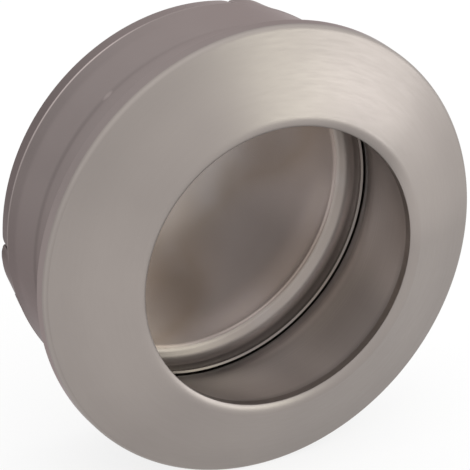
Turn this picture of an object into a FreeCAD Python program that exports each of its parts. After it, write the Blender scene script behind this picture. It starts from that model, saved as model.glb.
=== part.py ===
import FreeCAD, Part
import math
import os
import Sketcher

# Round recessed pull for a pocket door, in millimetres.
# Y runs along the axis: the front faces -Y, the door face is the plane Y = 0 behind the flange,
# and the body goes into the hole in the door towards +Y. Z is up.

doc = FreeCAD.newDocument("pocket_door_pull")

# Driving sizes of the pull
SIZES = [
    ("flange_diameter", 60.0, "outside of the flange on the door face"),
    ("flange_edge", 1.5, "straight edge of the flange, off the door face"),
    ("flange_round", 0.9, "rounding from that edge into the sloping face"),
    ("lip_height", 7.25, "crest of the rolled lip, off the door face"),
    ("lip_round", 1.3, "radius of the roll over the crest"),
    ("lip_turn", 45.0, "how far the roll turns in past the crest, to a crisp edge, degrees"),
    ("mouth_diameter", 37.2, "narrowest opening, inside the lip"),
    ("throat_length", 1.1, "straight stretch behind the lip's edge"),
    ("body_diameter", 53.5, "outside of the body in the door"),
    ("body_length", 17.8, "body behind the door face"),
    ("back_bevel", 0.4, "bevel round the body's back edge"),
    ("lug_count", 3, "lugs left standing round the back edge"),
    ("lug_angle", 16.0, "width of a lug, degrees"),
    ("lug_turn", 70.0, "place of the first lug, degrees from +X towards +Z"),
    ("strip_length", 2.5, "drawn-in strip between lugs, along the body"),
    ("strip_draw", 0.5, "how far a strip is drawn in at its back edge"),
    ("slit_width", 0.35, "slit between a strip and a lug"),
    ("slit_depth", 0.9, "depth of that slit into the wall"),
    ("slit_flare", 0.9, "rounding where the slit opens at the back edge"),
    ("slit_flare_turn", 60.0, "turn of that rounding, degrees"),
    ("pan_diameter", 46.3, "outside of the pan's upright rim"),
    ("pan_height", 4.1, "pan from its back to the edge of its rim"),
    ("pan_sheet", 0.4, "thickness of the pan's sheet"),
    ("pan_bend", 2.4, "inner bend between the pan's floor and its rim"),
    ("pan_inset", 0.85, "back of the pan inside the body's back edge"),
    ("pan_fit", 0.05, "clearance round the pan in its seat"),
    ("rim_gap", 0.3, "open gap round the free edge of the pan's rim"),
    ("rim_gap_depth", 1.2, "depth of that gap, down to the seat"),
    ("cut_margin", 1.0, "how far a cut runs past the surface it opens"),
]

sheet = doc.addObject("Spreadsheet::Sheet", "Sizes")
for row, (alias, size, meaning) in enumerate(SIZES, start=1):
    sheet.set("A%d" % row, meaning)
    sheet.set("B%d" % row, str(size))
    sheet.setAlias("B%d" % row, alias)
doc.recompute()

# Radii and places along the axis that pieces share, as formulas of the sheet
FLANGE_RADIUS = "Sizes.flange_diameter / 2"
MOUTH_RADIUS = "Sizes.mouth_diameter / 2"
BODY_RADIUS = "Sizes.body_diameter / 2"
PAN_RADIUS = "Sizes.pan_diameter / 2"
SEAT_RADIUS = PAN_RADIUS + " + Sizes.pan_fit"
GAP_RADIUS = PAN_RADIUS + " + Sizes.rim_gap"
BACK = "Sizes.body_length"
PAN_BACK = BACK + " - Sizes.pan_inset"
RIM_EDGE = PAN_BACK + " - Sizes.pan_height"
LEDGE = RIM_EDGE + " + Sizes.rim_gap_depth"
LIP_CENTRE_DROP = "Sizes.lip_height - Sizes.lip_round"
LIP_CENTRE_RADIUS = MOUTH_RADIUS + " + Sizes.lip_round * sin(Sizes.lip_turn)"

# Sketcher's own numbers for the axes, the origin, and the ends and centre of an element
X_AXIS, Y_AXIS = -1, -2
START, END, CENTRE = 1, 2, 3
ORIGIN = (X_AXIS, START)


def value(expression):
    """The present value of a formula of the sheet."""
    return float(sheet.evalExpression(expression.replace("Sizes.", "")))


def new_sketch(body, name, plane_role):
    """An empty sketch on one of the body's own planes."""
    sketch = body.newObject("Sketcher::SketchObject", name)
    plane = next(feature for feature in body.Origin.OriginFeatures if feature.Role == plane_role)
    sketch.AttachmentSupport = [(plane, "")]
    sketch.MapMode = "FlatFace"
    return sketch


def add_line(sketch, start, end):
    return sketch.addGeometry(Part.LineSegment(FreeCAD.Vector(*start, 0), FreeCAD.Vector(*end, 0)))


def add_arc(sketch, centre, radius, first_angle, last_angle):
    """An arc that runs anticlockwise between two angles in degrees."""
    circle = Part.Circle(FreeCAD.Vector(*centre, 0), FreeCAD.Vector(0, 0, 1), radius)
    return sketch.addGeometry(Part.ArcOfCircle(circle, math.radians(first_angle), math.radians(last_angle)))


def on_circle(centre, radius, angle):
    """The point of a circle at an angle in degrees."""
    turn = math.radians(angle)
    return (centre[0] + radius * math.cos(turn), centre[1] + radius * math.sin(turn))


def constrain(sketch, kind, *places):
    return sketch.addConstraint(Sketcher.Constraint(kind, *places))


def dimension(sketch, kind, places, name, expression):
    """A named dimension of the sketch that follows the sheet."""
    index = constrain(sketch, kind, *places, value(expression))
    sketch.renameConstraint(index, name)
    sketch.setExpression("Constraints." + name, expression)


# Housing: flange, rolled lip, recess wall, body and seat for the pan, turned round the axis
housing = doc.addObject("PartDesign::Body", "housing")
housing.Label = "housing"
profile = new_sketch(housing, "housing_profile", "XY_Plane")

flange_r = value(FLANGE_RADIUS)
mouth_r = value(MOUTH_RADIUS)
body_r = value(BODY_RADIUS)
seat_r = value(SEAT_RADIUS)
gap_r = value(GAP_RADIUS)
back_y = value(BACK)
rim_y = value(RIM_EDGE)
ledge_y = value(LEDGE)
edge_y = -value("Sizes.flange_edge")
flange_round = value("Sizes.flange_round")
lip_round = value("Sizes.lip_round")
lip_end = -90 - value("Sizes.lip_turn")
bevel = value("Sizes.back_bevel")
rim_centre = (flange_r - flange_round, edge_y)
lip_centre = (value(LIP_CENTRE_RADIUS), -value(LIP_CENTRE_DROP))
lip_edge = on_circle(lip_centre, lip_round, lip_end)
throat_y = lip_edge[1] + value("Sizes.throat_length")

# The face is the line that touches both the flange's rounding and the lip's roll
reach = math.dist(rim_centre, lip_centre)
bearing = math.degrees(math.atan2(lip_centre[1] - rim_centre[1], lip_centre[0] - rim_centre[0]))
face_normal = bearing + math.degrees(math.acos((flange_round - lip_round) / reach))
if math.sin(math.radians(face_normal)) > 0:
    face_normal = bearing - math.degrees(math.acos((flange_round - lip_round) / reach))
face_normal = (face_normal + 180) % 360 - 180

seat_wall = add_line(profile, (seat_r, ledge_y), (seat_r, back_y))
back_face = add_line(profile, (seat_r, back_y), (body_r - bevel, back_y))
back_bevel = add_line(profile, (body_r - bevel, back_y), (body_r, back_y - bevel))
body_wall = add_line(profile, (body_r, back_y - bevel), (body_r, 0))
door_face = add_line(profile, (body_r, 0), (flange_r, 0))
flange_edge = add_line(profile, (flange_r, 0), (flange_r, edge_y))
rim_arc = add_arc(profile, rim_centre, flange_round, face_normal, 0)
face = add_line(profile, on_circle(rim_centre, flange_round, face_normal),
                on_circle(lip_centre, lip_round, face_normal))
lip_arc = add_arc(profile, lip_centre, lip_round, lip_end, face_normal)
throat = add_line(profile, lip_edge, (mouth_r, throat_y))
recess = add_line(profile, (mouth_r, throat_y), (gap_r, rim_y))
gap_wall = add_line(profile, (gap_r, rim_y), (gap_r, ledge_y))
ledge = add_line(profile, (gap_r, ledge_y), (seat_r, ledge_y))

for upright in (seat_wall, body_wall, flange_edge, throat, gap_wall):
    constrain(profile, "Vertical", upright)
for level in (back_face, door_face, ledge):
    constrain(profile, "Horizontal", level)
corners = [(seat_wall, back_face), (back_face, back_bevel), (back_bevel, body_wall), (body_wall, door_face),
           (door_face, flange_edge), (throat, recess), (recess, gap_wall), (gap_wall, ledge),
           (ledge, seat_wall)]
for first, second in corners:
    constrain(profile, "Coincident", first, END, second, START)
constrain(profile, "Tangent", flange_edge, END, rim_arc, END)
constrain(profile, "Tangent", rim_arc, START, face, START)
constrain(profile, "Tangent", face, END, lip_arc, END)
constrain(profile, "Coincident", lip_arc, START, throat, START)
constrain(profile, "PointOnObject", door_face, START, X_AXIS)

dimension(profile, "DistanceX", (*ORIGIN, flange_edge, START), "flange_radius", FLANGE_RADIUS)
dimension(profile, "DistanceX", (*ORIGIN, body_wall, END), "body_radius", BODY_RADIUS)
dimension(profile, "DistanceX", (*ORIGIN, throat, END), "mouth_radius", MOUTH_RADIUS)
dimension(profile, "DistanceX", (*ORIGIN, gap_wall, START), "gap_radius", GAP_RADIUS)
dimension(profile, "DistanceX", (*ORIGIN, seat_wall, END), "seat_radius", SEAT_RADIUS)
dimension(profile, "DistanceY", (*ORIGIN, back_face, START), "body_length", BACK)
dimension(profile, "DistanceY", (*ORIGIN, gap_wall, START), "rim_edge", RIM_EDGE)
dimension(profile, "DistanceY", (*ORIGIN, ledge, START), "seat_ledge", LEDGE)
dimension(profile, "DistanceY", (flange_edge, END, flange_edge, START), "flange_edge", "Sizes.flange_edge")
dimension(profile, "DistanceX", (*ORIGIN, lip_arc, CENTRE), "lip_centre_radius", LIP_CENTRE_RADIUS)
dimension(profile, "DistanceY", (lip_arc, CENTRE, *ORIGIN), "lip_centre_drop", LIP_CENTRE_DROP)
dimension(profile, "DistanceY", (throat, START, throat, END), "throat_length", "Sizes.throat_length")
dimension(profile, "Radius", (rim_arc,), "flange_round", "Sizes.flange_round")
dimension(profile, "Radius", (lip_arc,), "lip_round", "Sizes.lip_round")
dimension(profile, "DistanceX", (back_bevel, START, back_bevel, END), "bevel_width", "Sizes.back_bevel")
dimension(profile, "DistanceY", (back_bevel, END, back_bevel, START), "bevel_length", "Sizes.back_bevel")

turned = housing.newObject("PartDesign::Revolution", "turned_form")
turned.Profile = profile
turned.ReferenceAxis = (profile, ["V_Axis"])
turned.Angle = 360


# Strip: between two lugs the back edge is drawn in a little, all along its arc
LUG_START = "Sizes.lug_turn - Sizes.lug_angle / 2"
LUG_END = "Sizes.lug_turn + Sizes.lug_angle / 2"
CUT_RADIUS = BODY_RADIUS + " + Sizes.cut_margin"
CUT_BACK = BACK + " + Sizes.cut_margin"
STRIP_START = BACK + " - Sizes.strip_length"
STRIP_RADIUS = (BODY_RADIUS + " - Sizes.strip_draw * (Sizes.strip_length + Sizes.cut_margin)"
                " / Sizes.strip_length")

strip_profile = new_sketch(housing, "strip_profile", "XY_Plane")
strip_profile.AttachmentOffset = FreeCAD.Placement(
    FreeCAD.Vector(0, 0, 0), FreeCAD.Rotation(FreeCAD.Vector(0, -1, 0), value(LUG_END)))
strip_profile.setExpression("AttachmentOffset.Rotation.Angle", LUG_END)

cut_r = value(CUT_RADIUS)
cut_y = value(CUT_BACK)
strip_y = value(STRIP_START)
strip_r = value(STRIP_RADIUS)
strip_slope = add_line(strip_profile, (body_r, strip_y), (strip_r, cut_y))
strip_back = add_line(strip_profile, (strip_r, cut_y), (cut_r, cut_y))
strip_side = add_line(strip_profile, (cut_r, cut_y), (cut_r, strip_y))
strip_front = add_line(strip_profile, (cut_r, strip_y), (body_r, strip_y))
for first, second in [(strip_slope, strip_back), (strip_back, strip_side), (strip_side, strip_front),
                      (strip_front, strip_slope)]:
    constrain(strip_profile, "Coincident", first, END, second, START)
constrain(strip_profile, "Horizontal", strip_back)
constrain(strip_profile, "Vertical", strip_side)
constrain(strip_profile, "Horizontal", strip_front)
dimension(strip_profile, "DistanceX", (*ORIGIN, strip_slope, START), "bend_radius", BODY_RADIUS)
dimension(strip_profile, "DistanceY", (*ORIGIN, strip_slope, START), "bend_place", STRIP_START)
dimension(strip_profile, "DistanceX", (*ORIGIN, strip_slope, END), "drawn_radius", STRIP_RADIUS)
dimension(strip_profile, "DistanceY", (*ORIGIN, strip_slope, END), "cut_back", CUT_BACK)
dimension(strip_profile, "DistanceX", (*ORIGIN, strip_side, START), "cut_radius", CUT_RADIUS)

strip = housing.newObject("PartDesign::Groove", "drawn_strip")
strip.Profile = strip_profile
strip.ReferenceAxis = (strip_profile, ["V_Axis"])
strip.Reversed = True
strip.setExpression("Angle", "360 / Sizes.lug_count - Sizes.lug_angle")

# Slit: parts a lug from the strip beside it, and opens out in two roundings at the back edge
FLARE_CENTRE = BACK + " - Sizes.slit_flare * sin(Sizes.slit_flare_turn)"


def cut_slit(name, angle):
    """A slit at an angle round the body, drawn on a plane outside the wall: X runs along the axis."""
    sketch = new_sketch(housing, name + "_outline", "YZ_Plane")
    sketch.AttachmentOffset = FreeCAD.Placement(
        FreeCAD.Vector(0, 0, 0), FreeCAD.Rotation(FreeCAD.Vector(-1, 0, 0), value(angle)))
    sketch.setExpression("AttachmentOffset.Rotation.Angle", angle)
    sketch.setExpression("AttachmentOffset.Base.y", "(%s) * sin(%s)" % (CUT_RADIUS, angle))
    sketch.setExpression("AttachmentOffset.Base.z", "(%s) * cos(%s)" % (CUT_RADIUS, angle))

    half = value("Sizes.slit_width / 2")
    flare = value("Sizes.slit_flare")
    flare_turn = value("Sizes.slit_flare_turn")
    flare_y = value(FLARE_CENTRE)
    mouth = half + flare * (1 - math.cos(math.radians(flare_turn)))
    end = add_line(sketch, (strip_y, half), (strip_y, -half))
    low_wall = add_line(sketch, (strip_y, -half), (flare_y, -half))
    low_flare = add_arc(sketch, (flare_y, -half - flare), flare, 90 - flare_turn, 90)
    low_side = add_line(sketch, (back_y, -mouth), (cut_y, -mouth))
    across = add_line(sketch, (cut_y, -mouth), (cut_y, mouth))
    high_side = add_line(sketch, (cut_y, mouth), (back_y, mouth))
    high_flare = add_arc(sketch, (flare_y, half + flare), flare, 270, 270 + flare_turn)
    high_wall = add_line(sketch, (flare_y, half), (strip_y, half))

    for along in (low_wall, low_side, high_side, high_wall):
        constrain(sketch, "Horizontal", along)
    constrain(sketch, "Vertical", across)
    constrain(sketch, "Coincident", end, END, low_wall, START)
    constrain(sketch, "Tangent", low_wall, END, low_flare, END)
    constrain(sketch, "Coincident", low_flare, START, low_side, START)
    constrain(sketch, "Coincident", low_side, END, across, START)
    constrain(sketch, "Coincident", across, END, high_side, START)
    constrain(sketch, "Coincident", high_side, END, high_flare, END)
    constrain(sketch, "Tangent", high_flare, START, high_wall, START)
    constrain(sketch, "Coincident", high_wall, END, end, START)
    constrain(sketch, "Symmetric", end, START, end, END, X_AXIS)
    constrain(sketch, "Equal", low_flare, high_flare)
    dimension(sketch, "DistanceY", (end, END, end, START), "slit_width", "Sizes.slit_width")
    dimension(sketch, "DistanceX", (*ORIGIN, end, START), "slit_end", STRIP_START)
    dimension(sketch, "Radius", (low_flare,), "slit_flare", "Sizes.slit_flare")
    dimension(sketch, "DistanceX", (*ORIGIN, low_flare, CENTRE), "low_centre", FLARE_CENTRE)
    dimension(sketch, "DistanceX", (*ORIGIN, high_flare, CENTRE), "high_centre", FLARE_CENTRE)
    dimension(sketch, "DistanceX", (*ORIGIN, low_side, START), "low_mouth", BACK)
    dimension(sketch, "DistanceX", (*ORIGIN, high_side, END), "high_mouth", BACK)
    dimension(sketch, "DistanceX", (*ORIGIN, across, START), "cut_back", CUT_BACK)

    slit = housing.newObject("PartDesign::Pocket", name)
    slit.Profile = sketch
    slit.setExpression("Length", "Sizes.cut_margin + Sizes.slit_depth")
    return slit


strip_start_slit = cut_slit("strip_start_slit", LUG_END)
strip_end_slit = cut_slit("strip_end_slit", LUG_START)

lug_ring = housing.newObject("PartDesign::PolarPattern", "lug_ring")
lug_ring.Originals = [strip, strip_start_slit, strip_end_slit]
lug_ring.Axis = (profile, ["V_Axis"])
lug_ring.Angle = 360
lug_ring.setExpression("Occurrences", "Sizes.lug_count")
housing.Tip = lug_ring

# Pan: pressed from thin sheet, with a flat floor, a round bend and an upright rim.
# Outside, the corner is struck flat where it touches the bend's full thickness.
PAN_FRONT = PAN_BACK + " - Sizes.pan_sheet"
RIM_INSIDE = PAN_RADIUS + " - Sizes.pan_sheet"
BEND_RADIUS = RIM_INSIDE + " - Sizes.pan_bend"
BEND_CENTRE = PAN_FRONT + " - Sizes.pan_bend"
PAN_CORNER = "(Sizes.pan_bend + Sizes.pan_sheet) * (2 - sqrt(2))"

pan = doc.addObject("PartDesign::Body", "pan")
pan.Label = "pan"
pan_profile = new_sketch(pan, "pan_profile", "XY_Plane")

pan_r = value(PAN_RADIUS)
inside_r = value(RIM_INSIDE)
bend_x = value(BEND_RADIUS)
bend_y = value(BEND_CENTRE)
pan_y = value(PAN_BACK)
floor_y = value(PAN_FRONT)
corner = value(PAN_CORNER)
floor_back = add_line(pan_profile, (0, pan_y), (pan_r - corner, pan_y))
outer_corner = add_line(pan_profile, (pan_r - corner, pan_y), (pan_r, pan_y - corner))
rim_outside = add_line(pan_profile, (pan_r, pan_y - corner), (pan_r, rim_y))
rim_top = add_line(pan_profile, (pan_r, rim_y), (inside_r, rim_y))
rim_inside = add_line(pan_profile, (inside_r, rim_y), (inside_r, bend_y))
inner_bend = add_arc(pan_profile, (bend_x, bend_y), inside_r - bend_x, 0, 90)
floor_front = add_line(pan_profile, (bend_x, floor_y), (0, floor_y))
floor_axis = add_line(pan_profile, (0, floor_y), (0, pan_y))

for first, second in [(floor_back, outer_corner), (outer_corner, rim_outside), (rim_outside, rim_top),
                      (rim_top, rim_inside), (floor_front, floor_axis), (floor_axis, floor_back)]:
    constrain(pan_profile, "Coincident", first, END, second, START)
constrain(pan_profile, "Tangent", rim_inside, END, inner_bend, START)
constrain(pan_profile, "Tangent", inner_bend, END, floor_front, START)
constrain(pan_profile, "PointOnObject", floor_axis, START, Y_AXIS)
for upright in (floor_axis, rim_outside, rim_inside):
    constrain(pan_profile, "Vertical", upright)
for level in (floor_back, floor_front, rim_top):
    constrain(pan_profile, "Horizontal", level)
dimension(pan_profile, "DistanceX", (*ORIGIN, rim_outside, START), "pan_radius", PAN_RADIUS)
dimension(pan_profile, "DistanceY", (*ORIGIN, floor_back, START), "pan_back", PAN_BACK)
dimension(pan_profile, "DistanceY", (*ORIGIN, rim_top, START), "rim_edge", RIM_EDGE)
dimension(pan_profile, "DistanceX", (rim_top, END, rim_top, START), "rim_sheet", "Sizes.pan_sheet")
dimension(pan_profile, "DistanceY", (floor_axis, START, floor_axis, END), "floor_sheet", "Sizes.pan_sheet")
dimension(pan_profile, "Radius", (inner_bend,), "pan_bend", "Sizes.pan_bend")
dimension(pan_profile, "DistanceX", (outer_corner, START, outer_corner, END), "corner_width", PAN_CORNER)
dimension(pan_profile, "DistanceY", (outer_corner, END, outer_corner, START), "corner_length", PAN_CORNER)

pressed = pan.newObject("PartDesign::Revolution", "pressed_form")
pressed.Profile = pan_profile
pressed.ReferenceAxis = (pan_profile, ["V_Axis"])
pressed.Angle = 360
doc.recompute()

# Nothing is written unless every step of the model came out whole
for item in doc.Objects:
    if "Invalid" in item.State or "Error" in item.State:
        raise RuntimeError("%s failed: %s" % (item.Name, item.getStatusString()))
    if item.TypeId == "Sketcher::SketchObject" and not item.FullyConstrained:
        raise RuntimeError("%s isn't fully constrained" % item.Name)
cuts = [turned, strip, strip_start_slit, strip_end_slit, lug_ring]
for before, after in zip(cuts, cuts[1:]):
    if after.Shape.Volume >= before.Shape.Volume:
        raise RuntimeError("%s cuts nothing" % after.Name)
for piece in (housing, pan):
    if piece.Shape.isNull() or not piece.Shape.isValid() or len(piece.Shape.Solids) != 1:
        raise RuntimeError("%s isn't one sound solid" % piece.Label)

os.makedirs("parts", exist_ok=True)
for piece in (housing, pan):
    piece.Shape.exportStep("parts/%s.step" % piece.Label)
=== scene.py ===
import math

import bmesh
import bpy
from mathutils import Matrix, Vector


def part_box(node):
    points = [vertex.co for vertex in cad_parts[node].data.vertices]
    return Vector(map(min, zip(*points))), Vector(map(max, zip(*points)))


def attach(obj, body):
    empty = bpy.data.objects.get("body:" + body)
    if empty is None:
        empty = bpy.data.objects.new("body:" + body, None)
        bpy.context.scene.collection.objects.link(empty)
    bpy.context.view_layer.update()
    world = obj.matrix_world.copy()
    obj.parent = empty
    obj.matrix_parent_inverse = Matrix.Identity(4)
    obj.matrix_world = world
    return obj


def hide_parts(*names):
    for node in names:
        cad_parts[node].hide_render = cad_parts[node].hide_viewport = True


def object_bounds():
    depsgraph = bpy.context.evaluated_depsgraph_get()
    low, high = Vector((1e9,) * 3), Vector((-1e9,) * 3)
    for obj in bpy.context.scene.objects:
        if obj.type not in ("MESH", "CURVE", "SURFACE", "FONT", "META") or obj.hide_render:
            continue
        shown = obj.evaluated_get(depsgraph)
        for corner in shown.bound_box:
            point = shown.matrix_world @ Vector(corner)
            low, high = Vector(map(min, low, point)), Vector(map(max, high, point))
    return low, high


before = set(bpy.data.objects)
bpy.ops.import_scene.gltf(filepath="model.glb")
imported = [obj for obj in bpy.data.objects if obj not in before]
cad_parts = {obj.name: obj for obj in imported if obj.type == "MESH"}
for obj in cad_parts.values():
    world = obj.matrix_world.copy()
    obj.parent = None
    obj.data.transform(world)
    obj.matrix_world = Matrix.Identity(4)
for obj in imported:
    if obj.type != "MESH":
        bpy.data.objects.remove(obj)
cad_low, cad_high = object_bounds()

# The housing: one casting in zinc alloy. The flange lies on the door, its face slopes up to a rolled lip,
# and behind the lip the wall of the finger recess widens. The body goes into the hole in the door. Being
# one casting it has no seam. It was turned and brushed round its axis and plated with nickel.
MM = 0.001


def in_mm(metres):
    """A size of the frame in mm, to a thousandth."""
    return round(metres / MM, 3)


housing_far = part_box("housing")[1]
pan_near, pan_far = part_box("pan")
FLANGE_R = in_mm(housing_far.x)
FLANGE_EDGE = 1.5
FLANGE_ROUND = 0.9
LIP_HEIGHT = 7.25
LIP_ROUND = 1.3
LIP_EDGE = 0.22
MOUTH_R = 18.6
THROAT_END = -5.77
BODY_R = 26.75
BODY_END = in_mm(housing_far.y)
BACK_ROUND = 0.4
GAP_R = 23.45
SEAT_R = 23.2
RIM_EDGE = in_mm(pan_near.y)
SEAT_LEDGE = 14.05
STRIP_START = 15.3
STRIP_DRAW = 0.5
STRIP_RIDGE = 0.05
RIDGE_RISE = 0.22
RIDGE_FALL = 0.2
SCORE_PLACE = 7.2
SCORE_HALF = 0.75
SCORE_DEEP = 0.025
# Each lug's turn round the axis in degrees, and the side on which it runs out into the strip.
LUGS = ((70, -1), (190, 1), (310, 1))
LUG_HALF = 8.0
LUG_CORNER = (0.8, 4.2)
LUG_RUN_OUT = -2
SLIT_HALF = 0.175
SLIT_DEPTH = 0.9
SLIT_FLARE = 0.9
SLIT_FLARE_TURN = 60
SLIT_SPREAD = 18
SLIT_CLEAR = 3.2
SLIT_NEAR = (1.75, 2.3, 2.9)
COLUMN_APART = 0.01
EDGE_SOFT = 0.07
HAIR = 0.01
LINE_END_NEAR = 0.05
SAME_POINT = 1e-6


def arc(centre, radius, first, last, steps):
    """Points (radius, place along the axis) of an arc between two angles in degrees."""
    turns = [math.radians(first + (last - first) * i / steps) for i in range(steps + 1)]
    return [(centre[0] + radius * math.cos(t), centre[1] + radius * math.sin(t)) for t in turns]


def line(start, end, inner=0):
    """Points of a straight stretch, with one close to each end so that its shading stays straight."""
    length = math.dist(start, end)
    near = min(LINE_END_NEAR, length / 4) / length
    shares = [0, near] + [(i + 1) / (inner + 1) for i in range(inner)] + [1 - near, 1]
    return [tuple(a + (b - a) * s for a, b in zip(start, end)) for s in shares]


def chain(*runs):
    """One profile from runs that follow each other, without the points that two runs share."""
    points = []
    for run in runs:
        for point in run:
            if not points or math.dist(points[-1], point) > SAME_POINT:
                points.append(point)
    return points


# The face is the line that touches the flange's rounding and the lip's roll.
LIP_TURN = math.radians(45)
lip_centre = (MOUTH_R + LIP_ROUND * math.sin(LIP_TURN), -(LIP_HEIGHT - LIP_ROUND))
rim_centre = (FLANGE_R - FLANGE_ROUND, -FLANGE_EDGE)
reach = math.dist(rim_centre, lip_centre)
bearing = math.degrees(math.atan2(lip_centre[1] - rim_centre[1], lip_centre[0] - rim_centre[0]))
normal = bearing + math.degrees(math.acos((FLANGE_ROUND - LIP_ROUND) / reach))
if normal > 180:
    normal -= 360
RIM_STEPS = 14
rim_arc = arc(rim_centre, FLANGE_ROUND, 0, normal, RIM_STEPS)
lip_turn_end = -90 - math.degrees(math.asin((lip_centre[0] - MOUTH_R - LIP_EDGE) / (LIP_ROUND - LIP_EDGE)))
lip_arc = arc(lip_centre, LIP_ROUND, normal, lip_turn_end, 26)
edge_turn = math.radians(lip_turn_end)
edge_centre = (lip_centre[0] + (LIP_ROUND - LIP_EDGE) * math.cos(edge_turn),
               lip_centre[1] + (LIP_ROUND - LIP_EDGE) * math.sin(edge_turn))
edge_arc = arc(edge_centre, LIP_EDGE, lip_turn_end, -180, 8)
door_corner = arc((FLANGE_R - EDGE_SOFT, -EDGE_SOFT), EDGE_SOFT, 90, 0, 4)
rim_profile = chain(line((BODY_R, 0), door_corner[0], 1), door_corner, line(door_corner[-1], rim_arc[0], 1))
face_profile = chain(rim_arc, line(rim_arc[-1], lip_arc[0], 6), lip_arc, edge_arc)
recess_profile = chain(
    line(edge_arc[-1], (MOUTH_R, THROAT_END)), line((MOUTH_R, THROAT_END), (GAP_R, RIM_EDGE), 12),
    line((GAP_R, RIM_EDGE), (GAP_R, SEAT_LEDGE)), line((GAP_R, SEAT_LEDGE), (SEAT_R, SEAT_LEDGE)))
back_arc = arc((BODY_R - BACK_ROUND, BODY_END - BACK_ROUND), BACK_ROUND, 90, 0, 8)
NEAR_RIDGE = 0.3
NEAR_SCORE = 0.6
back_profile = chain(
    line((SEAT_R, SEAT_LEDGE), (SEAT_R, BODY_END), 1),
    line((SEAT_R, BODY_END), (BODY_R - SLIT_DEPTH, BODY_END), 1),
    line((BODY_R - SLIT_DEPTH, BODY_END), back_arc[0]), back_arc,
    line(back_arc[-1], (BODY_R, STRIP_START + NEAR_RIDGE), 4),
    line((BODY_R, STRIP_START + NEAR_RIDGE), (BODY_R, STRIP_START - NEAR_RIDGE), 10),
    line((BODY_R, STRIP_START - NEAR_RIDGE), (BODY_R, SCORE_PLACE + NEAR_SCORE), 20),
    line((BODY_R, SCORE_PLACE + NEAR_SCORE), (BODY_R, SCORE_PLACE - NEAR_SCORE), 12),
    line((BODY_R, SCORE_PLACE - NEAR_SCORE), (BODY_R, 0), 8))
profile = chain(rim_profile, face_profile, recess_profile, back_profile)[:-1]
face_start = len(rim_profile) - 1
recess_start = face_start + len(face_profile) - 1
back_start = recess_start + len(recess_profile) - 1


def slit_half(y):
    """Half the width of a slit at a place along the axis: it flares at the body's back edge."""
    flare_centre = BODY_END - SLIT_FLARE * math.sin(math.radians(SLIT_FLARE_TURN))
    past = min(max(y - flare_centre, 0), SLIT_FLARE)
    return SLIT_HALF + SLIT_FLARE - math.sqrt(SLIT_FLARE ** 2 - past ** 2)


# Columns of the mesh round the axis: even ones, and closer ones that follow the sides of each slit. Those
# have a side of the slit, how far they stand outside its edge, and how deep they lie.
slits = sorted((centre + side * LUG_HALF) % 360 for centre, _ in LUGS for side in (-1, 1))
SLIT_COLUMNS = [(-1, EDGE_SOFT, 0.0), (-1, 0.0, EDGE_SOFT), (-1, 0.0, SLIT_DEPTH), (0, 0.0, SLIT_DEPTH),
                (1, 0.0, SLIT_DEPTH), (1, 0.0, EDGE_SOFT), (1, EDGE_SOFT, 0.0)]
columns = [(float(turn), None) for turn in range(360)
           if min(abs((turn - slit + 180) % 360 - 180) for slit in slits) > SLIT_CLEAR]
for slit in slits:
    columns += [(slit + side * step, None) for side in (-1, 1) for step in SLIT_NEAR]
    columns += [(slit + COLUMN_APART * (rank - len(SLIT_COLUMNS) // 2), place)
                for rank, place in enumerate(SLIT_COLUMNS)]
columns.sort(key=lambda column: column[0])


def ease(value, low, high):
    """Goes smoothly from 0 at low to 1 at high."""
    share = min(max((value - low) / (high - low), 0), 1)
    return share * share * (3 - 2 * share)


def drawn_in(turn):
    """How far the back edge is drawn in at a turn round the axis: 1 on the strips and 0 on a lug.

    A lug's corner at its slit is rounded, and its other end runs out into the strip.
    """
    for centre, far_side in LUGS:
        apart = ((turn - centre + 180) % 360 - 180) * far_side
        if abs(apart) < LUG_HALF:
            return max(1 - ease(apart + LUG_HALF, *LUG_CORNER), ease(apart, LUG_RUN_OUT, LUG_HALF))
    return 1.0


def wall_drop(turn, y):
    """How far the outside of the wall lies inside the body's radius at a place.

    A strip is drawn in behind a small ridge, and a shallow line is scored round the wall.
    """
    if y < SCORE_PLACE + SCORE_HALF:
        return SCORE_DEEP * (1 - ease(abs(y - SCORE_PLACE), 0, SCORE_HALF))
    slope = STRIP_DRAW / (BODY_END - STRIP_START)
    ridge = ease(y, STRIP_START - RIDGE_RISE, STRIP_START)
    ridge *= 1 - ease(y, STRIP_START, STRIP_START + RIDGE_FALL)
    return (slope * max(0, y - STRIP_START) - STRIP_RIDGE * ridge) * drawn_in(turn)


rings = []
for turn, place in columns:
    ring = []
    slit = min(slits, key=lambda s: abs(s - turn))
    for index, (radius, y) in enumerate(profile):
        outside = index >= back_start and radius > BODY_R - SLIT_DEPTH - HAIR
        in_slit = place is not None and outside and y > STRIP_START - HAIR
        angle = turn
        if in_slit:
            side, apart, deep = place
            angle = slit + math.degrees(side * (slit_half(y) + apart) / BODY_R)
        elif place is not None:
            angle = slit + SLIT_SPREAD * (turn - slit)
        if outside:
            shrink = wall_drop(angle, y)
            radius = min(radius, BODY_R - shrink) if radius < BODY_R else radius - shrink
        if in_slit:
            radius = min(radius, BODY_R - (deep if deep == SLIT_DEPTH else shrink + deep))
        phi = math.radians(angle)
        ring.append((radius * math.cos(phi) * MM, y * MM, radius * math.sin(phi) * MM))
    rings.append(ring)

BRUSHED, AS_CAST, TURNED = range(3)
count = len(profile)
vertices = [point for ring in rings for point in ring]
faces = []
finishes = []
for j in range(len(rings)):
    k = (j + 1) % len(rings)
    for i in range(count):
        n = (i + 1) % count
        faces.append((j * count + i, j * count + n, k * count + n, k * count + i))
        hidden = i < face_start or i >= back_start
        finishes.append(AS_CAST if hidden else BRUSHED if i < recess_start else TURNED)
housing_mesh = bpy.data.meshes.new("housing_form")
housing_mesh.from_pydata(vertices, [], faces)
housing_mesh.polygons.foreach_set("material_index", finishes)

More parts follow.
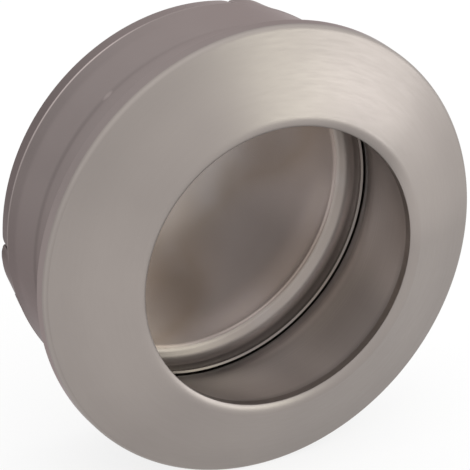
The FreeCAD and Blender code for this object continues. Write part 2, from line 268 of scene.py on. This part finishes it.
# Light and shade are painted into the plating's tone, in faint bands that are lighter or darker than its
# plain tone. A band stands at a turn round the axis, fades in between two cosines of the angle from there,
# and changes the tone by its last value.
FLANGE_BACK_TONE = 1.08
ROUNDING_TONE = 0.9
# A painted highlight rises towards the middle of the flange's rounding and falls after it.
ROUNDING_HIGHLIGHT_RISE = (0.1, 0.5, 0.17)
ROUNDING_HIGHLIGHT_FALL = (0.5, 1.0, -0.13)
FACE_TONE = 1.02
# Painted light on the face at the left and the right, and painted shade at its lower right, near the lip at
# the top right where it dims the highlight, and towards its outer edge.
FACE_LIGHT_BANDS = ((188, 0.7, 1, 0.1), (16, 0.93, 1, 0.14), (295, 0.85, 1, -0.07))
FACE_TOP_SHADE_BAND = (48, 0.85, 1, -0.12)
FACE_TOP_SHADE_REACH = (20, 23.5)
FACE_OUTSIDE_SHADE = (FLANGE_R - 6, FLANGE_R - 1.6, -0.06)
# Painted shade in the throat behind the lip and in the gap round the pan's edge.
THROAT_SHADE = 0.75
GAP_SHADE = 0.4
RECESS_TONE = 0.88
# Painted light on the recess wall at the right, below and deep at the lower right, and painted shade at the
# lower right towards the throat.
RECESS_LIGHT_BANDS = ((15, 0.6, 0.95, 0.6), (248, 0.75, 0.97, 0.65))
RECESS_BACK_LIGHT_BAND = (315, 0.75, 0.95, 1.1)
RECESS_BACK_LIGHT_REACH = (8, 11.2)
RECESS_SHADE_BAND = (328, 0.82, 0.96, -0.22)
RECESS_SHADE_REACH = (3, 9)
RECESS_LIGHTEST = 2.0
THROAT_SHADE_BAND = (300, 0.5, 0.8, -0.35)
THROAT_SHADE_REACH = 1.2
BACK_TONE = 0.85
# On the body a side is four turns: where it fades in, is full, starts to fade and is gone.
LOW_SIDE = (90, 150, 230, 290)
LEFT_SIDE = (140, 204, 230, 300)
STRIP_SIDE = (105, 175, 230, 290)
# Painted shade on the body's lower left side, and painted light near the flange and on the right side.
LEFT_SHADE = 0.44
NEAR_FLANGE_LIGHT = 0.08
RIGHT_FADES = (80, 140)
RIGHT_RETURNS = (300, 360)
RIGHT_LIGHT = 0.14
# Painted shade in the scored line, deeper on the left side.
SCORE_SHADE = 0.04
SCORE_LOW_SHADE = 0.14
SCORE_FULL = 0.1
# Painted shade over the back of the wall on the left side.
BACK_WALL_SHADE_REACH = (12.4, 13.5)
BACK_WALL_SHADE = 0.14
STRIP_SHADE = 0.1
STRIP_SIDE_SHADE = 0.36
STRIP_EDGE = (STRIP_START + 0.05, STRIP_START + 0.2)
# A painted highlight along the bend where each strip starts, strongest at the upper left and absent at the
# top right.
LINE_HIGHLIGHT = 1.1
LINE_REACH = (0.1, 0.26)
LINE_BEGINS = (100, 124)
LINE_WEAKENS = (134, 170)
LINE_LOSS = 0.4
TICK_TURN = 128
TICK_WIDE = 2.0
TICK_TALL = 0.5
TICK_LIGHT = 0.4
TICK_FULL = 0.4


def band(turn, centre, start, full, change):
    """By how much a band changes the tone at a turn round the axis."""
    return change * ease(math.cos(math.radians(turn - centre)), start, full)


def on_side(turn, begins, full, fades, gone):
    """1 on one side of the body and 0 on the rest, with soft ends."""
    return ease(turn, begins, full) * (1 - ease(turn, fades, gone))


def face_tone_and_painted_light(turn, share, radius):
    """The tone of the flange, its rounding and its face, with a painted highlight along the middle of the
    rounding and painted light and shade in bands on the face: share counts along the rounding, 0 to 1.
    """
    if share < 0:
        return FLANGE_BACK_TONE
    if share < 1:
        # A painted highlight along the middle of the rounding.
        rise = ROUNDING_HIGHLIGHT_RISE[2] * ease(share, *ROUNDING_HIGHLIGHT_RISE[:2])
        return ROUNDING_TONE + rise + ROUNDING_HIGHLIGHT_FALL[2] * ease(share, *ROUNDING_HIGHLIGHT_FALL[:2])
    # Painted light and shade on the face.
    light = FACE_TONE + sum(band(turn, *each) for each in FACE_LIGHT_BANDS)
    light += band(turn, *FACE_TOP_SHADE_BAND) * (1 - ease(radius, *FACE_TOP_SHADE_REACH))
    return light * (1 + FACE_OUTSIDE_SHADE[2] * ease(radius, *FACE_OUTSIDE_SHADE[:2]))


def recess_tone_and_painted_light(turn, y):
    """The tone inside the mouth: the throat, the wall of the recess and the gap round the pan's edge, with
    painted shade in the throat and the gap and painted light and shade in bands on the wall.
    """
    # Painted shade in the throat and in the gap.
    if y < THROAT_END - 2 * HAIR:
        return THROAT_SHADE
    if y > RIM_EDGE + 2 * HAIR:
        return GAP_SHADE
    # Painted light and shade on the wall of the recess.
    light = RECESS_TONE + sum(band(turn, *each) for each in RECESS_LIGHT_BANDS)
    light += band(turn, *RECESS_BACK_LIGHT_BAND) * ease(y, *RECESS_BACK_LIGHT_REACH)
    light += band(turn, *RECESS_SHADE_BAND) * (1 - ease(y, *RECESS_SHADE_REACH))
    soft = band(turn, *THROAT_SHADE_BAND) * (1 - ease(y, THROAT_END, THROAT_END + THROAT_SHADE_REACH))
    return min(light, RECESS_LIGHTEST) * (1 + soft)


def body_tone_and_painted_light(turn, y):
    """The tone of the body's wall, with painted shade on its lower left side, in its scored line and over its
    back on the left, painted light near the flange and on the right, the strips darker and on the left darker
    still with painted shade, a painted highlight on the strip's bright line, and a small bright spot on the
    scored line.
    """
    low = on_side(turn, *LOW_SIDE)
    strip = drawn_in(turn)
    # Painted shade on the lower left side, and painted light near the flange and on the right.
    light = 1 - LEFT_SHADE * on_side(turn, *LEFT_SIDE)
    light *= 1 + NEAR_FLANGE_LIGHT * (1 - ease(y, 0, SCORE_PLACE))
    light *= 1 + RIGHT_LIGHT * (1 - ease(turn, *RIGHT_FADES) + ease(turn, *RIGHT_RETURNS))
    # Painted shade in the scored line, deeper on the left.
    scored = 1 - ease(abs(y - SCORE_PLACE), SCORE_FULL, SCORE_HALF)
    light *= 1 - (SCORE_SHADE + SCORE_LOW_SHADE * low) * scored
    # Painted shade over the back of the wall on the left.
    light *= 1 - BACK_WALL_SHADE * low * ease(y, *BACK_WALL_SHADE_REACH)
    # The strips are darker, and on the left darker still with painted shade.
    shade = STRIP_SHADE + STRIP_SIDE_SHADE * on_side(turn, *STRIP_SIDE)
    light *= 1 - shade * strip * ease(y, *STRIP_EDGE)
    # A painted highlight along the bend where each strip starts.
    clear = strip * ease(turn, *LINE_BEGINS) * (1 - LINE_LOSS * ease(turn, *LINE_WEAKENS))
    light *= 1 + LINE_HIGHLIGHT * clear * (1 - ease(abs(y - STRIP_START), *LINE_REACH))
    tick = math.hypot((turn - TICK_TURN) / TICK_WIDE, (y - SCORE_PLACE) / TICK_TALL)
    return light * (1 + TICK_LIGHT * (1 - ease(tick, TICK_FULL, 1)))


def tone_and_painted_light(turn, index, y):
    """The plating's tone, with its painted light and shade, at a point of the profile and a turn round the
    axis.
    """
    radius = profile[index][0]
    if index < recess_start:
        return face_tone_and_painted_light(turn, (index - face_start) / RIM_STEPS, radius)
    if index <= back_start:
        return recess_tone_and_painted_light(turn, y)
    if radius < back_arc[0][0] + HAIR:
        return BACK_TONE
    return body_tone_and_painted_light(turn, y)


# Each point's tone, with its painted light and shade, is kept on the mesh.
tones = [tone_and_painted_light(turn, index, y) for turn, _ in columns for index, (_, y) in enumerate(profile)]
housing_mesh.attributes.new("tone_and_painted_light", "FLOAT", "POINT").data.foreach_set("value", tones)
# Where the sides of a slit meet, points of the grid lie on each other and become one.
grid = bmesh.new()
grid.from_mesh(housing_mesh)
SAME_PLACE = 0.001 * MM
bmesh.ops.remove_doubles(grid, verts=grid.verts, dist=SAME_PLACE)
grid.to_mesh(housing_mesh)
grid.free()
housing_mesh.validate()
housing_mesh.update()
housing = bpy.data.objects.new("housing_casting", housing_mesh)
bpy.context.scene.collection.objects.link(housing)
SHARP_ABOVE = math.radians(34)
housing_mesh.shade_smooth()
housing_mesh.set_sharp_from_angle(angle=SHARP_ABOVE)


def linear(text):
    """A colour from its sRGB hex value, as the shaders want it."""
    parts = [int(text[i:i + 2], 16) / 255 for i in (1, 3, 5)]
    return tuple(c / 12.92 if c <= 0.04045 else ((c + 0.055) / 1.055) ** 2.4 for c in parts) + (1.0,)


def add(tree, kind, settings=None, **links):
    """Adds a node with its settings and its links, each an output socket or a plain value.

    A link's key is the input's name, with _ for a space, or its number after a _.
    """
    node = tree.nodes.new(kind)
    for name, what in (settings or {}).items():
        setattr(node, name, what)
    for name, what in links.items():
        key = int(name[1:]) if name[1:].isdigit() else name.replace("_", " ")
        socket = node.inputs[key]
        if isinstance(what, bpy.types.NodeSocket):
            tree.links.new(what, socket)
        else:
            socket.default_value = what
    return node


def new_tree(owner):
    """The empty node tree of a new material or world."""
    owner.use_nodes = True
    owner.node_tree.nodes.clear()
    return owner.node_tree


def tone_with_painted_light(tree, share, dark, light):
    """A colour between two, times the tone with its painted light and shade at the place."""
    mixed = add(tree, "ShaderNodeMix", {"data_type": "RGBA"}, _0=share, _6=linear(dark), _7=linear(light))
    painted_light = add(tree, "ShaderNodeAttribute", {"attribute_name": "tone_and_painted_light"}).outputs["Fac"]
    scaled = add(tree, "ShaderNodeVectorMath", {"operation": "SCALE"}, _0=mixed.outputs[2], Scale=painted_light)
    return scaled.outputs[0]


# Nearly all values of the noise lie between these two.
NOISE_MIDDLE = {"From_Min": 0.3, "From_Max": 0.7}

# Satin nickel on a turned casting: brush lines run round the axis, so a light spreads across them in a
# broad soft band and stays narrow along them, with faint streaks that point to the axis.
satin = bpy.data.materials.new("satin_nickel_brushed")
tree = new_tree(satin)
place = add(tree, "ShaderNodeTexCoord").outputs["Object"]
split = add(tree, "ShaderNodeSeparateXYZ", _0=place)
flat = add(tree, "ShaderNodeCombineXYZ", X=split.outputs["X"], Z=split.outputs["Z"]).outputs[0]
out_from_axis = add(tree, "ShaderNodeVectorMath", {"operation": "LENGTH"}, _0=flat).outputs["Value"]
round_axis = add(tree, "ShaderNodeVectorMath", {"operation": "NORMALIZE"}, _0=flat).outputs["Vector"]
around = add(tree, "ShaderNodeSeparateXYZ", _0=round_axis)
# A brush line is about 0.05 mm wide on the real face. Drawn at 0.3 mm, or none would show at this size.
LINES_PER_METRE = 1 / (0.3 * MM)
STREAKS_PER_RADIAN = 9.0
BRUSHED_ROUGHNESS = {"To_Min": 0.36, "To_Max": 0.44}
BRUSHED_SPREAD = 0.5
QUARTER_TURN = 0.25
RIPPLE_STRENGTH = 0.10
RIPPLE_DEEP = 0.02 * MM
TIMES = {"operation": "MULTIPLY"}
across = add(tree, "ShaderNodeMath", TIMES, _0=out_from_axis, _1=LINES_PER_METRE).outputs[0]
along = add(tree, "ShaderNodeMath", TIMES, _0=split.outputs["Y"], _1=LINES_PER_METRE).outputs[0]
around_x = add(tree, "ShaderNodeMath", TIMES, _0=around.outputs["X"], _1=STREAKS_PER_RADIAN).outputs[0]
around_z = add(tree, "ShaderNodeMath", TIMES, _0=around.outputs["Z"], _1=STREAKS_PER_RADIAN).outputs[0]
brushed = add(tree, "ShaderNodeCombineXYZ", X=around_x, Y=across, Z=around_z).outputs[0]
lines = add(tree, "ShaderNodeTexNoise", {"noise_dimensions": "4D"}, Vector=brushed, W=along, Scale=1.0,
            Detail=3.0, Roughness=0.6).outputs["Fac"]
CLOUDS_PER_METRE = 1 / (9 * MM)
cloud = add(tree, "ShaderNodeTexNoise", {}, Vector=place, Scale=CLOUDS_PER_METRE, Detail=2.0).outputs["Fac"]
tone = tone_with_painted_light(tree, cloud, "#968E8A", "#9C948F")
dull = add(tree, "ShaderNodeMapRange", Value=lines, **NOISE_MIDDLE, **BRUSHED_ROUGHNESS).outputs[0]
ripple = add(tree, "ShaderNodeBump", {}, Strength=RIPPLE_STRENGTH, Distance=RIPPLE_DEEP, Height=lines)
turned = add(tree, "ShaderNodeTangent", {"direction_type": "RADIAL", "axis": "Y"}).outputs[0]
shader = add(tree, "ShaderNodeBsdfPrincipled", {}, Base_Color=tone, Metallic=1.0, Roughness=dull,
             Anisotropic=BRUSHED_SPREAD, Anisotropic_Rotation=QUARTER_TURN, Normal=ripple.outputs[0],
             Tangent=turned)
add(tree, "ShaderNodeOutputMaterial", {}, Surface=shader.outputs[0])
housing_mesh.materials.append(satin)

# The body and back that the door hides: plated but never brushed, so darker and a little mottled. On the
# body's left side the back of the wall is darker still with painted shade.
plain = bpy.data.materials.new("nickel_plate_as_cast")
tree = new_tree(plain)
MOTTLES_PER_METRE = 1 / (4 * MM)
CAST_ROUGHNESS = {"To_Min": 0.30, "To_Max": 0.36}
place = add(tree, "ShaderNodeTexCoord").outputs["Object"]
mottle = add(tree, "ShaderNodeTexNoise", {}, Vector=place, Scale=MOTTLES_PER_METRE, Detail=4.0)
mottle = mottle.outputs["Fac"]
tone = tone_with_painted_light(tree, mottle, "#837A78", "#89807E")
dull = add(tree, "ShaderNodeMapRange", Value=mottle, **NOISE_MIDDLE, **CAST_ROUGHNESS).outputs[0]
shader = add(tree, "ShaderNodeBsdfPrincipled", {}, Base_Color=tone, Metallic=1.0, Roughness=dull,
             Specular_Tint=linear("#E4DADA"))
add(tree, "ShaderNodeOutputMaterial", {}, Surface=shader.outputs[0])
housing_mesh.materials.append(plain)

# The wall of the recess: turned and plated but not brushed, so cleaner than the face. Its colour is a
# brighter copy of the face's nickel, painted light in the recess.
inner = bpy.data.materials.new("satin_nickel_turned_painted_light")
tree = new_tree(inner)
place = add(tree, "ShaderNodeTexCoord").outputs["Object"]
split = add(tree, "ShaderNodeSeparateXYZ", _0=place)
# Turning marks are finer than 0.1 mm on the real wall. Drawn at 0.4 mm, or none would show at this size.
MARKS_PER_METRE = 1 / (0.4 * MM)
TURNED_ROUGHNESS = {"To_Min": 0.28, "To_Max": 0.33}
steps = add(tree, "ShaderNodeMath", TIMES, _0=split.outputs["Y"], _1=MARKS_PER_METRE).outputs[0]
marks = add(tree, "ShaderNodeTexNoise", {"noise_dimensions": "1D"}, W=steps, Scale=1.0, Detail=2.0)
marks = marks.outputs["Fac"]
tone = tone_with_painted_light(tree, marks, "#A6A09D", "#B8B2AF")
dull = add(tree, "ShaderNodeMapRange", Value=marks, **NOISE_MIDDLE, **TURNED_ROUGHNESS).outputs[0]
shader = add(tree, "ShaderNodeBsdfPrincipled", {}, Base_Color=tone, Metallic=1.0, Roughness=dull)
add(tree, "ShaderNodeOutputMaterial", {}, Surface=shader.outputs[0])
housing_mesh.materials.append(inner)
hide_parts("housing")
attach(housing, "root")

# The pan: a dish pressed from thin steel sheet and plated, with an upright rim whose cut edge is free.
# It is pushed into the back of the housing and closes the recess.
PAN_R = in_mm(pan_far.x)
PAN_BACK = in_mm(pan_far.y)
PAN_SHEET = 0.4
PAN_BEND = 2.4
PAN_FRONT = PAN_BACK - PAN_SHEET
FOOT_TURN = 37
FOOT_R = 21.15
FOOT_LOW_BEND = 1.6
FOOT_HIGH_BEND = 1.9
RIM_SOFT = 0.08
RIM_BEVEL = (0.31, 0.18)
RIM_LEAN = 0.55
bend_centre = (PAN_R - PAN_SHEET - PAN_BEND, PAN_FRONT - PAN_BEND)
outer_bend = arc(bend_centre, PAN_BEND + PAN_SHEET, 90, 0, 16)
rim_out = arc((PAN_R - RIM_SOFT, RIM_EDGE + RIM_SOFT), RIM_SOFT, 0, -90, 5)
rim_bevel = (PAN_R - RIM_BEVEL[0], RIM_EDGE + RIM_BEVEL[1])
rim_in = (PAN_R - PAN_SHEET, RIM_EDGE + RIM_LEAN)
# Inside, the foot of the rim is struck to a short cone with a bend on each side.
foot_high = PAN_FRONT - (rim_in[0] - FOOT_R) * math.tan(math.radians(FOOT_TURN))
low_reach = FOOT_LOW_BEND * math.tan(math.radians(FOOT_TURN / 2))
high_reach = FOOT_HIGH_BEND * math.tan(math.radians(45 - FOOT_TURN / 2))
high_bend = arc((rim_in[0] - FOOT_HIGH_BEND, foot_high - high_reach), FOOT_HIGH_BEND, 0, 90 - FOOT_TURN, 12)
low_bend = arc((FOOT_R - low_reach, PAN_FRONT - FOOT_LOW_BEND), FOOT_LOW_BEND, 90 - FOOT_TURN, 90, 10)
CENTRE_R = 0.4
pan_outside = chain(line((CENTRE_R, PAN_BACK), outer_bend[0], 8), outer_bend,
                    line(outer_bend[-1], rim_out[0], 1), rim_out, line(rim_out[-1], rim_bevel))
pan_inside = chain(line(rim_bevel, rim_in), line(rim_in, high_bend[0], 1), high_bend,
                   line(high_bend[-1], low_bend[0], 2), low_bend,
                   line(low_bend[-1], (CENTRE_R, PAN_FRONT), 8))
pan_profile = chain(pan_outside, pan_inside)
PAN_COLUMNS = 360
count = len(pan_profile)
vertices = []
for j in range(PAN_COLUMNS):
    phi = 2 * math.pi * j / PAN_COLUMNS
    vertices += [(r * math.cos(phi) * MM, y * MM, r * math.sin(phi) * MM) for r, y in pan_profile]
faces = [tuple(range(0, count * PAN_COLUMNS, count))]
faces.append(tuple(range(count * PAN_COLUMNS - 1, 0, -count)))
for j in range(PAN_COLUMNS):
    k = (j + 1) % PAN_COLUMNS
    faces += [(j * count + i, j * count + i + 1, k * count + i + 1, k * count + i) for i in range(count - 1)]
pan_mesh = bpy.data.meshes.new("pan_form")
pan_mesh.from_pydata(vertices, [], faces)
pan_mesh.validate()
pan_mesh.update()

# Light and shade are painted into the sheet's tone: painted shade on the free edge and on the upright rim at
# the lower right, a painted highlight in a band round the bend at the rim's foot, and painted light on the
# cone and over the floor, more towards the lower right. The floor also has soft darker and lighter patches.
# A patch has its middle in mm, by how much it darkens, and how far it reaches.
EDGE_SHADE = 0.65
RIM_LIGHT = 0.9
UPRIGHT_SHADE_BAND = (295, 0.6, 0.9, -0.35)
BEND_HIGHLIGHT_BAND = (318, 0.75, 0.95, 0.9)
CONE_LIGHT = 0.12
FLOOR_LIGHT = 0.32
FLOOR_RIGHT_LIGHT = 0.42
FLOOR_RIGHT_WAY = (0.65, -0.76)
FLOOR_RIGHT_REACH = (2, 18)
PATCH_FULL = 1.5
PATCHES = [(-3.5, -14.5, 0.38, 8), (11, 6, 0.18, 8), (8.5, -4.5, -0.24, 11), (15.5, -13, 0.25, 10),
           (1.5, 1.5, 0.15, 6)]
# Places along the axis where the bends at the foot begin, pass and end.
high_start, high_end = high_bend[0][1], high_bend[-1][1]
lit_start, rim_full, lit_full, high_middle, lit_end = (high_bend[step][1] for step in (2, 4, 5, 6, 9))
low_start, floor_start, floor_full = (low_bend[step][1] for step in (0, 3, 7))


def pan_tone_and_painted_light(index, x, y, z):
    """The sheet's tone at a place, with its painted light and shade."""
    if index < len(pan_outside):
        # Painted shade on the free edge of the rim.
        return EDGE_SHADE if y < rim_bevel[1] + 2 * HAIR else 1.0
    turn = math.degrees(math.atan2(z, x))
    # A painted highlight round the bend at the rim's foot, painted shade on the upright at the lower right,
    # and painted light on the cone and over the floor.
    foot = 1 - ease(y, high_start, high_end)
    rim = RIM_LIGHT * ease(y, high_start, rim_full) + band(turn, *UPRIGHT_SHADE_BAND)
    lit = ease(y, lit_start, lit_full) * (1 - ease(y, high_middle, lit_end))
    lit *= band(turn, *BEND_HIGHLIGHT_BAND)
    cone = ease(y, high_middle, high_end) * (1 - ease(y, low_start, PAN_FRONT))
    to_right = FLOOR_RIGHT_WAY[0] * x + FLOOR_RIGHT_WAY[1] * z
    floor = FLOOR_LIGHT + FLOOR_RIGHT_LIGHT * ease(to_right, *FLOOR_RIGHT_REACH)
    for patch_x, patch_z, less, patch_reach in PATCHES:
        floor -= less * (1 - ease(math.hypot(x - patch_x, z - patch_z), PATCH_FULL, patch_reach))
    return 1 + rim * foot + lit + CONE_LIGHT * cone + floor * (1 - foot) * (1 - cone)


DRAWN_LESS = 0.4


def pan_drawn(index, y):
    """How far the sheet was roughened by drawing at a place: the inside of the rim, and its foot less."""
    if index < len(pan_outside):
        return 0.0
    on_cone = ease(y, high_middle, high_end)
    on_floor = ease(y, floor_start, floor_full)
    return 1 - DRAWN_LESS * on_cone - (1 - DRAWN_LESS) * on_floor


tones = [pan_tone_and_painted_light(i % count, *(c / MM for c in vertex)) for i, vertex in enumerate(vertices)]
pan_mesh.attributes.new("tone_and_painted_light", "FLOAT", "POINT").data.foreach_set("value", tones)
drawn = [pan_drawn(i % count, vertex[1] / MM) for i, vertex in enumerate(vertices)]
pan_mesh.attributes.new("drawn", "FLOAT", "POINT").data.foreach_set("value", drawn)
pan = bpy.data.objects.new("pan_pressing", pan_mesh)
bpy.context.scene.collection.objects.link(pan)
pan_mesh.shade_smooth()
pan_mesh.set_sharp_from_angle(angle=SHARP_ABOVE)

# Satin nickel on pressed sheet: smoother than the face and faintly clouded in a warmer tone, cleaner where
# its painted light is strong and where it was drawn, and rougher where the rim and its foot were drawn.
pressed = bpy.data.materials.new("satin_nickel_pressed_sheet")
tree = new_tree(pressed)
SHEET_CLOUDS_PER_METRE = 1 / (12 * MM)
SHEET_CLOUD_RANGE = {"From_Min": 0.28, "From_Max": 0.72}
CLEAN_WHERE_PAINTED_LIGHT = {"From_Min": 1.25, "From_Max": 1.7}
SHEET_ROUGHNESS = {"To_Min": 0.21, "To_Max": 0.26}
DRAWN_ROUGHNESS = 0.2
LARGER = {"operation": "MAXIMUM"}
TIMES_AND_ADD = {"operation": "MULTIPLY_ADD"}
place = add(tree, "ShaderNodeTexCoord").outputs["Object"]
cloud = add(tree, "ShaderNodeTexNoise", {}, Vector=place, Scale=SHEET_CLOUDS_PER_METRE, Detail=2.0)
cloud = cloud.outputs["Fac"]
# The tone with its painted light and shade, from the mesh.
painted_light = add(tree, "ShaderNodeAttribute", {"attribute_name": "tone_and_painted_light"}).outputs["Fac"]
drawn = add(tree, "ShaderNodeAttribute", {"attribute_name": "drawn"}).outputs["Fac"]
patch = add(tree, "ShaderNodeMapRange", Value=cloud, **SHEET_CLOUD_RANGE).outputs[0]
# Where the painted light is strong, the clouding gives way to the plain grey.
clean = add(tree, "ShaderNodeMapRange", Value=painted_light, **CLEAN_WHERE_PAINTED_LIGHT).outputs[0]
clean = add(tree, "ShaderNodeMath", LARGER, _0=clean, _1=drawn).outputs[0]
patch = add(tree, "ShaderNodeMath", LARGER, _0=patch, _1=clean).outputs[0]
tone = tone_with_painted_light(tree, patch, "#8E8277", "#9B9491")
dull = add(tree, "ShaderNodeMapRange", Value=cloud, **NOISE_MIDDLE, **SHEET_ROUGHNESS).outputs[0]
dull = add(tree, "ShaderNodeMath", TIMES_AND_ADD, _0=drawn, _1=DRAWN_ROUGHNESS, _2=dull).outputs[0]
shader = add(tree, "ShaderNodeBsdfPrincipled", {}, Base_Color=tone, Metallic=1.0, Roughness=dull)
add(tree, "ShaderNodeOutputMaterial", {}, Surface=shader.outputs[0])
pan_mesh.materials.append(pressed)
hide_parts("pan")
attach(pan, "root")

# The studio: a white floor under the flange's edge, a pale world that is brighter above and dimmer behind
# the part, and two large soft lamps side by side at the front right, which light the top of the face.
FLOOR_HALF = 3.0
floor_z = cad_low.z
floor_mesh = bpy.data.meshes.new("floor_sheet")
corners = [(-1, -1), (1, -1), (1, 1), (-1, 1)]
floor_mesh.from_pydata([(x * FLOOR_HALF, y * FLOOR_HALF, floor_z) for x, y in corners], [], [(0, 1, 2, 3)])
floor = bpy.data.objects.new("floor", floor_mesh)
bpy.context.scene.collection.objects.link(floor)
# White paper on a light table: near the part it is lit from below as well, so that it is white to the
# camera and in the metal and keeps only a faint shadow.
PAPER_GLOW = 0.8
GLOW_NEAR = 0.25
GLOW_FAR = 0.7
SOFT_ENDS = {"interpolation_type": "SMOOTHSTEP"}
paper = bpy.data.materials.new("white_paper_lit_from_below")
tree = new_tree(paper)
rays = add(tree, "ShaderNodeLightPath").outputs
seen = add(tree, "ShaderNodeMath", LARGER, _0=rays["Is Camera Ray"], _1=rays["Is Glossy Ray"]).outputs[0]
seen = add(tree, "ShaderNodeMath", LARGER, _0=seen, _1=rays["Is Transmission Ray"]).outputs[0]
place = add(tree, "ShaderNodeTexCoord").outputs["Object"]
away = add(tree, "ShaderNodeVectorMath", {"operation": "LENGTH"}, _0=place).outputs["Value"]
glow = add(tree, "ShaderNodeMapRange", SOFT_ENDS, Value=away, From_Min=GLOW_NEAR, From_Max=GLOW_FAR,
           To_Min=PAPER_GLOW, To_Max=0.0).outputs[0]
share = add(tree, "ShaderNodeMath", TIMES, _0=seen, _1=glow).outputs[0]
paper_face = add(tree, "ShaderNodeBsdfDiffuse", {}, Color=linear("#F4F4F4")).outputs[0]
paper_glow = add(tree, "ShaderNodeEmission", {}, Color=linear("#FFFFFF"), Strength=1.0).outputs[0]
paper_mix = add(tree, "ShaderNodeMixShader", {}, _0=share, _1=paper_face, _2=paper_glow).outputs[0]
add(tree, "ShaderNodeOutputMaterial", {}, Surface=paper_mix)
floor_mesh.materials.append(paper)

WORLD_LEVEL = 0.95
WORLD_ABOVE = 1.28
BEHIND_FROM = 0.5
BEHIND_LESS = 0.15
world = bpy.data.worlds.new("studio_world")
tree = new_tree(world)
way = add(tree, "ShaderNodeSeparateXYZ", _0=add(tree, "ShaderNodeTexCoord").outputs["Generated"])
above = add(tree, "ShaderNodeMapRange", Value=way.outputs["Z"], To_Min=WORLD_LEVEL, To_Max=WORLD_ABOVE)
behind = add(tree, "ShaderNodeMapRange", SOFT_ENDS, Value=way.outputs["Y"], From_Min=BEHIND_FROM,
             To_Max=BEHIND_LESS)
bright = add(tree, "ShaderNodeMath", {"operation": "SUBTRACT"}, _0=above.outputs[0], _1=behind.outputs[0])
sky = add(tree, "ShaderNodeBackground", {}, Color=linear("#FFFFFF"), Strength=bright.outputs[0]).outputs[0]
add(tree, "ShaderNodeOutputWorld", {}, Surface=sky)
bpy.context.scene.world = world

SOFTBOX_DISTANCE = 0.7
SOFTBOX_TALL = 0.5
# Each lamp's name, the way to it, its width in metres, its watts and its colour.
SOFTBOXES = [("softbox_right", (0.85, -0.51, 0.11), 0.52, 1.58, "#F8FBFB"),
             ("softbox_front", (0.497, -0.778, 0.384), 0.28, 0.66, "#F8FFF0")]
for name, toward, wide, watts, colour in SOFTBOXES:
    lamp_data = bpy.data.lights.new(name, "AREA")
    lamp_data.shape = "RECTANGLE"
    lamp_data.size = wide
    lamp_data.size_y = SOFTBOX_TALL
    lamp_data.energy = watts
    lamp_data.color = linear(colour)[:3]
    lamp = bpy.data.objects.new(name, lamp_data)
    lamp.location = Vector(toward).normalized() * SOFTBOX_DISTANCE
    lamp.rotation_euler = Vector(toward).to_track_quat("Z", "Y").to_euler()
    lamp.visible_camera = False
    bpy.context.scene.collection.objects.link(lamp)

# The camera: half a metre off with a long lens, to the left of the front and above it.
PICTURE = 470
FOCAL = 4000
MM_PER_PIXEL = 0.1246
SENSOR_WIDE = 36.0
TURN_LEFT = math.radians(-28.07)
LOOK_DOWN = math.radians(25.26)
AIM_X, AIM_Y = 259.4, 250.7
right = Vector((math.cos(TURN_LEFT), math.sin(TURN_LEFT), 0))
back = Vector((math.sin(TURN_LEFT) * math.cos(LOOK_DOWN), -math.cos(TURN_LEFT) * math.cos(LOOK_DOWN),
               math.sin(LOOK_DOWN)))
up = back.cross(right)
camera_data = bpy.data.cameras.new("camera")
camera_data.sensor_width = SENSOR_WIDE
camera_data.lens = FOCAL / PICTURE * SENSOR_WIDE
camera_data.clip_start = 0.01
camera_data.clip_end = 20.0
camera = bpy.data.objects.new("camera", camera_data)
edge_front = Vector((0, -FLANGE_EDGE, 0))
shift = right * (PICTURE / 2 - AIM_X) + up * (AIM_Y - PICTURE / 2) + back * FOCAL
camera.location = (edge_front + shift * MM_PER_PIXEL) * MM
camera.rotation_mode = "QUATERNION"
camera.rotation_quaternion = back.to_track_quat("Z", "Y")
bpy.context.scene.collection.objects.link(camera)
bpy.context.scene.camera = camera
bpy.context.scene.view_settings.view_transform = "Standard"
